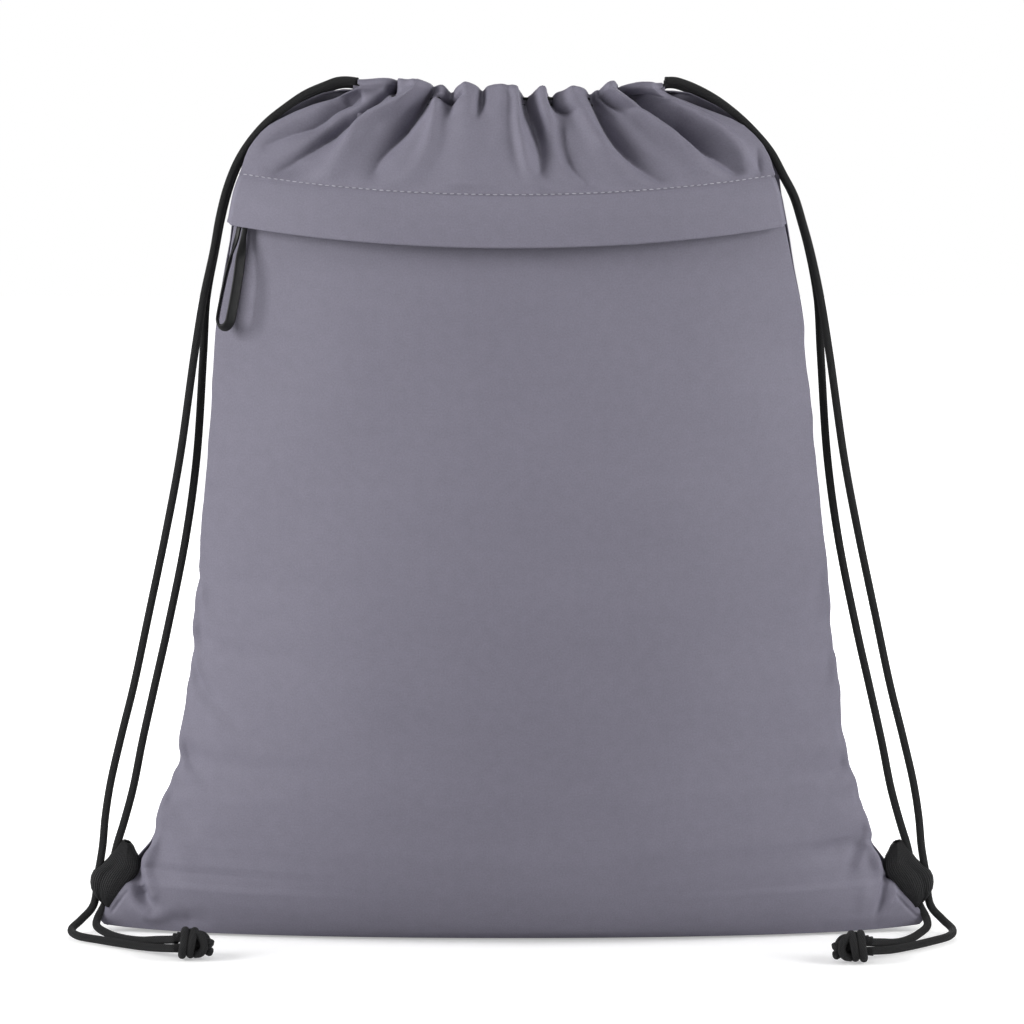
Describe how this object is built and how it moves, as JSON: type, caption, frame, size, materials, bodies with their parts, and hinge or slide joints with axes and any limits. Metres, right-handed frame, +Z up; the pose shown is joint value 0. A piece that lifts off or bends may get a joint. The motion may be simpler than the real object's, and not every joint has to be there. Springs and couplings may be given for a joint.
{
  "type": "drawstring sack",
  "caption": "Drawstring sack for shoes or gym kit, with gathered mouth, zipped front pocket under a flap, corner webbing loops and knotted cord shoulder straps.",
  "frame": {"origin": "centre of the base, on the surface it stands on", "axes": "+Z up, the zipped front faces -Y, +X to the right seen from the front"},
  "size_m": [0.4644, 0.1314, 0.446],
  "materials": {
    "sack_fabric": "satin woven polyester",
    "lining_fabric": "plain woven lining",
    "zip_tape": "herringbone tape",
    "zip_coil": "nylon coil",
    "zip_metal": "black lacquer",
    "puller_rubber": "smooth soft-touch",
    "webbing": "ribbed grosgrain",
    "cord_braid": "round braid"
  },
  "bodies": {
    "bag": {"front_panel": "sack_fabric", "back_panel": "sack_fabric", "front_yoke": "sack_fabric", "pocket_lining": "lining_fabric", "hem_channel_front": "sack_fabric", "hem_channel_back": "sack_fabric", "zip_tape_upper": "zip_tape", "zip_tape_lower": "zip_tape", "zip_coil_upper": "zip_coil", "zip_coil_lower": "zip_coil", "zip_flap": "sack_fabric", "zip_stop_left": "zip_metal", "zip_stop_right": "zip_metal", "corner_loop_left": "webbing", "corner_loop_right": "webbing", "left_cord_in_hem": "cord_braid", "right_cord_in_hem": "cord_braid", "left_cord_front_strand": "cord_braid", "left_cord_back_strand": "cord_braid", "right_cord_front_strand": "cord_braid", "right_cord_back_strand": "cord_braid", "left_knot": "cord_braid", "right_knot": "cord_braid"},
    "slider": {"zip_slider": "zip_metal"},
    "ring": {"pull_ring": "zip_metal"},
    "puller": {"puller_loop": "puller_rubber"}
  },
  "joints": [
    {"name": "zip_travel", "type": "hinge", "parent": "bag", "child": "slider", "pos_m": [0, 0.2412, 0.4634], "axis": [0, -0.3162, 0.9487], "range_deg": [0, 52.3]},
    {"name": "ring_lift", "type": "hinge", "parent": "slider", "child": "ring", "pos_m": [-0.13519, -0.01011, 0.38188], "axis": [-0.8902, 0.4322, 0.1441], "range_deg": [0, 7]},
    {"name": "puller_sway", "type": "hinge", "parent": "ring", "child": "puller", "pos_m": [-0.13625, -0.01049, 0.3765], "axis": [-0.4129, -0.899, 0.1458], "range_deg": [-15, 15]}
  ]
}
